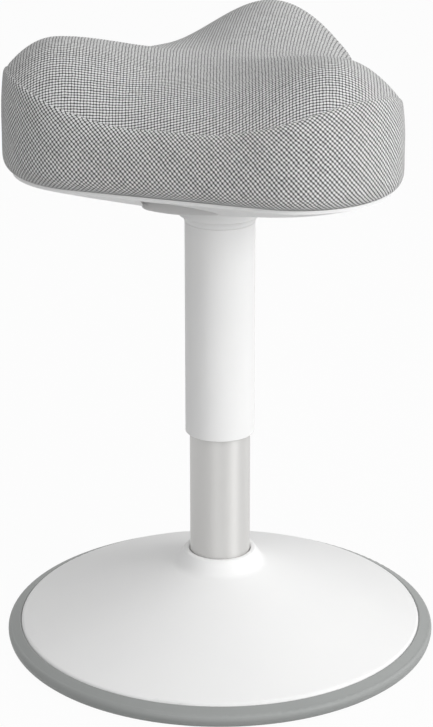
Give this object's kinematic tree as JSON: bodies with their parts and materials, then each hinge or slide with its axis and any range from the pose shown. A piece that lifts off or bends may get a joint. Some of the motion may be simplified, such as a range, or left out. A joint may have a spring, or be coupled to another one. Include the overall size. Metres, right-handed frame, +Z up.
{
  "type": "stool",
  "caption": "Height-adjustable stool with a three-lobed fabric saddle seat, sliding cover tube over a gas-lift column, release lever and weighted round base in a rubber ring.",
  "frame": {"origin": "on the floor, on the column's axis", "axes": "+Z up the column, +Y towards the seat's back lobe, -Y towards the lever"},
  "size_m": [0.358, 0.358, 0.5155],
  "materials": {
    "white_plastic": "satin white moulding",
    "lever_plastic": "light grey moulding",
    "guide_plastic": "black nylon",
    "ring_rubber": "matte grey rubber",
    "black_rubber": "black rubber",
    "silver_paint": "satin silver coat",
    "steel": "bare steel",
    "black_steel": "black coat",
    "iron": "raw casting",
    "plywood": "raw plywood",
    "foam": "cut foam",
    "seat_fabric": "light grey coarse weave"
  },
  "bodies": {
    "base": {"base_cover": "white_plastic", "rubber_ring": "ring_rubber", "ballast_disc": "iron", "bottom_plate": "black_steel", "base_screws": "steel", "column_socket": "steel", "socket_bolts": "steel", "column_tube": "silver_paint", "column_bush": "guide_plastic", "column_end_plate": "steel", "lower_race": "steel"},
    "cage": {"ball_cage": "guide_plastic", "bearing_balls": "steel"},
    "rod": {"upper_race": "steel", "piston_rod": "steel", "rod_clip": "steel", "rod_buffer": "black_rubber", "piston": "steel", "piston_seal": "black_rubber"},
    "seat": {"gas_cylinder": "black_steel", "cylinder_gland": "guide_plastic", "valve_body": "steel", "cover_tube": "white_plastic", "cover_slide_ring": "guide_plastic", "seat_board": "plywood", "foam_cushion": "foam", "side_band": "seat_fabric", "top_cover": "seat_fabric", "mount_plate": "black_steel", "taper_socket": "black_steel", "mount_bolts": "steel", "tee_nuts": "steel", "lever_bracket": "black_steel", "pivot_pin": "steel", "seat_shell": "white_plastic", "shell_screws": "steel"},
    "lever": {"lever_arm": "black_steel", "lever_paddle": "lever_plastic", "paddle_screws": "steel"},
    "valve": {"release_pin": "steel"}
  },
  "joints": [
    {"name": "seat_swivel", "type": "hinge", "parent": "base", "child": "rod", "pos_m": [0, 0, 0.031], "axis": [0, 0, 1], "continuous": true},
    {"name": "cage_turn", "type": "hinge", "parent": "base", "child": "cage", "pos_m": [0, 0, 0.027], "axis": [0, 0, 1], "continuous": true},
    {"name": "seat_lift", "type": "slide", "parent": "rod", "child": "seat", "axis": [0, 0, 1], "range_m": [-0.1, 0.04]},
    {"name": "lever_pull", "type": "hinge", "parent": "seat", "child": "lever", "pos_m": [0, -0.026, 0.4064], "axis": [-1, 0, 0], "range_deg": [0, 7], "stiffness_Nm_per_rad": 3, "springref_deg": -5.73},
    {"name": "release_press", "type": "slide", "parent": "seat", "child": "valve", "axis": [0, 0, -1], "range_m": [0, 0.0035]}
  ],
  "couplings": [
    {"joint": "cage_turn", "follows": "seat_swivel", "ratio": 0.5},
    {"joint": "release_press", "follows": "lever_pull", "m_per_rad": 0.028}
  ]
}
